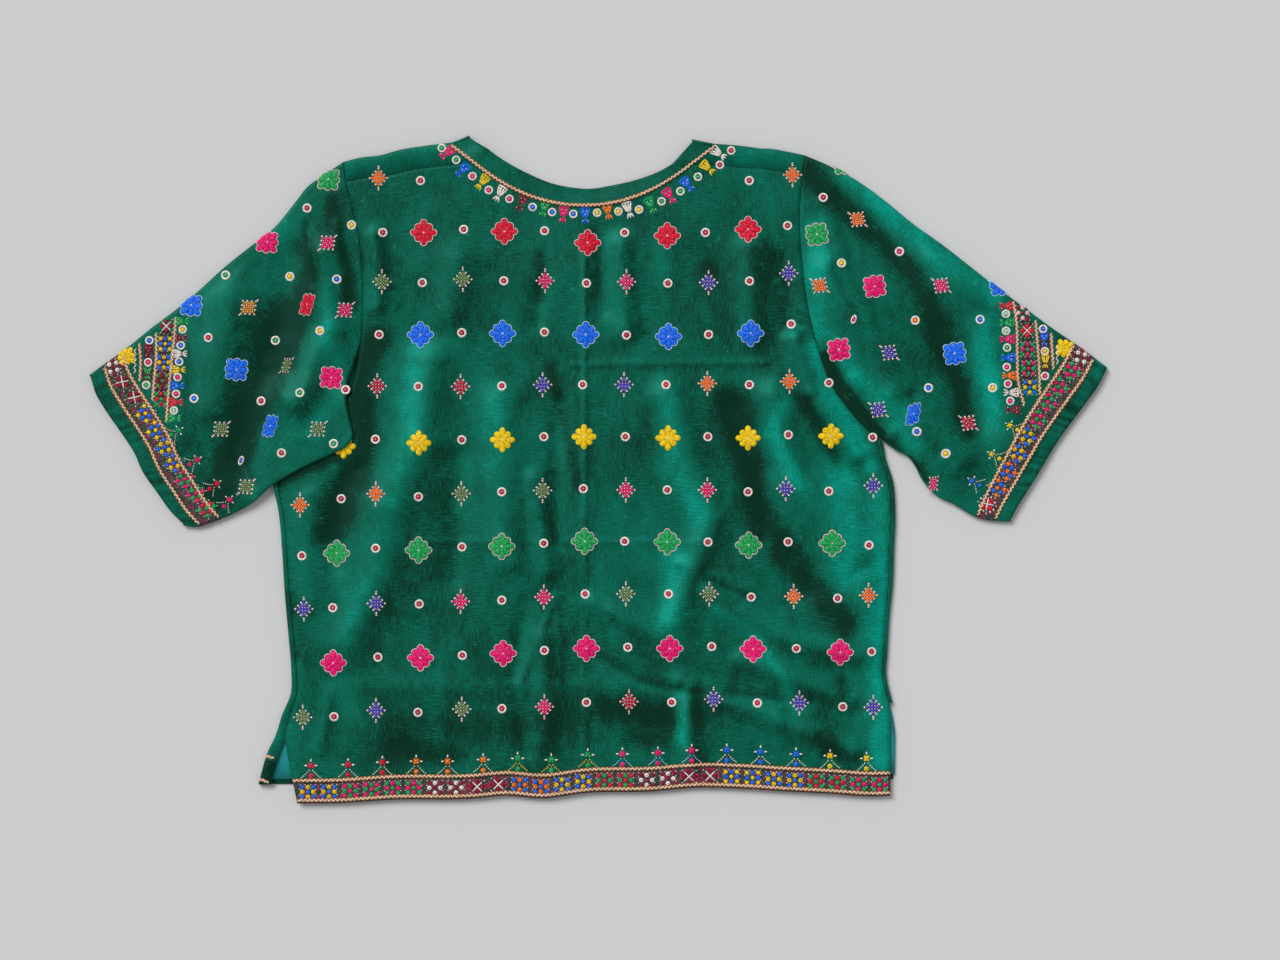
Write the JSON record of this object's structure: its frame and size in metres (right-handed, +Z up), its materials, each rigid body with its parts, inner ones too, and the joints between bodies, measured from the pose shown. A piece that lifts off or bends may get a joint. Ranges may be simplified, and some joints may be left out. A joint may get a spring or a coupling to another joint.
{
  "type": "choli blouse",
  "caption": "Short-sleeved silk choli blouse laid flat with its back uppermost, embroidered all over, with mirror-work borders at the hem and cuffs.",
  "frame": {"origin": "centre of the blouse's box, on the surface that it lies on", "axes": "+X to the right and +Y towards the neck for someone looking down on the blouse, +Z up from the surface"},
  "size_m": [0.8134, 0.5337, 0.0135],
  "materials": {
    "green_silk": "deep emerald shot silk with slubs and a soft sheen",
    "mirror_border": "border filled with small coloured stitched florets round mirrors",
    "gold_braid": "pale gold zigzag braid with brown edges",
    "turquoise_lining": "smooth turquoise lining"
  },
  "bodies": {
    "root": {"back_panel": "green_silk", "front_panel": "green_silk", "sleeve_left": "green_silk", "sleeve_right": "green_silk", "cuff_band_left": "green_silk", "cuff_band_right": "green_silk", "neck_band_back": "green_silk", "neck_band_front": "green_silk", "cuff_border_left": "mirror_border", "cuff_border_right": "mirror_border", "hem_border_back": "mirror_border", "hem_border_front": "mirror_border", "neck_braid": "gold_braid", "hem_braid_upper": "gold_braid", "hem_braid_lower": "gold_braid", "cuff_braid_inner_left": "gold_braid", "cuff_braid_inner_right": "gold_braid", "cuff_braid_outer_left": "gold_braid", "cuff_braid_outer_right": "gold_braid", "front_lining": "turquoise_lining"}
  },
  "joints": []
}
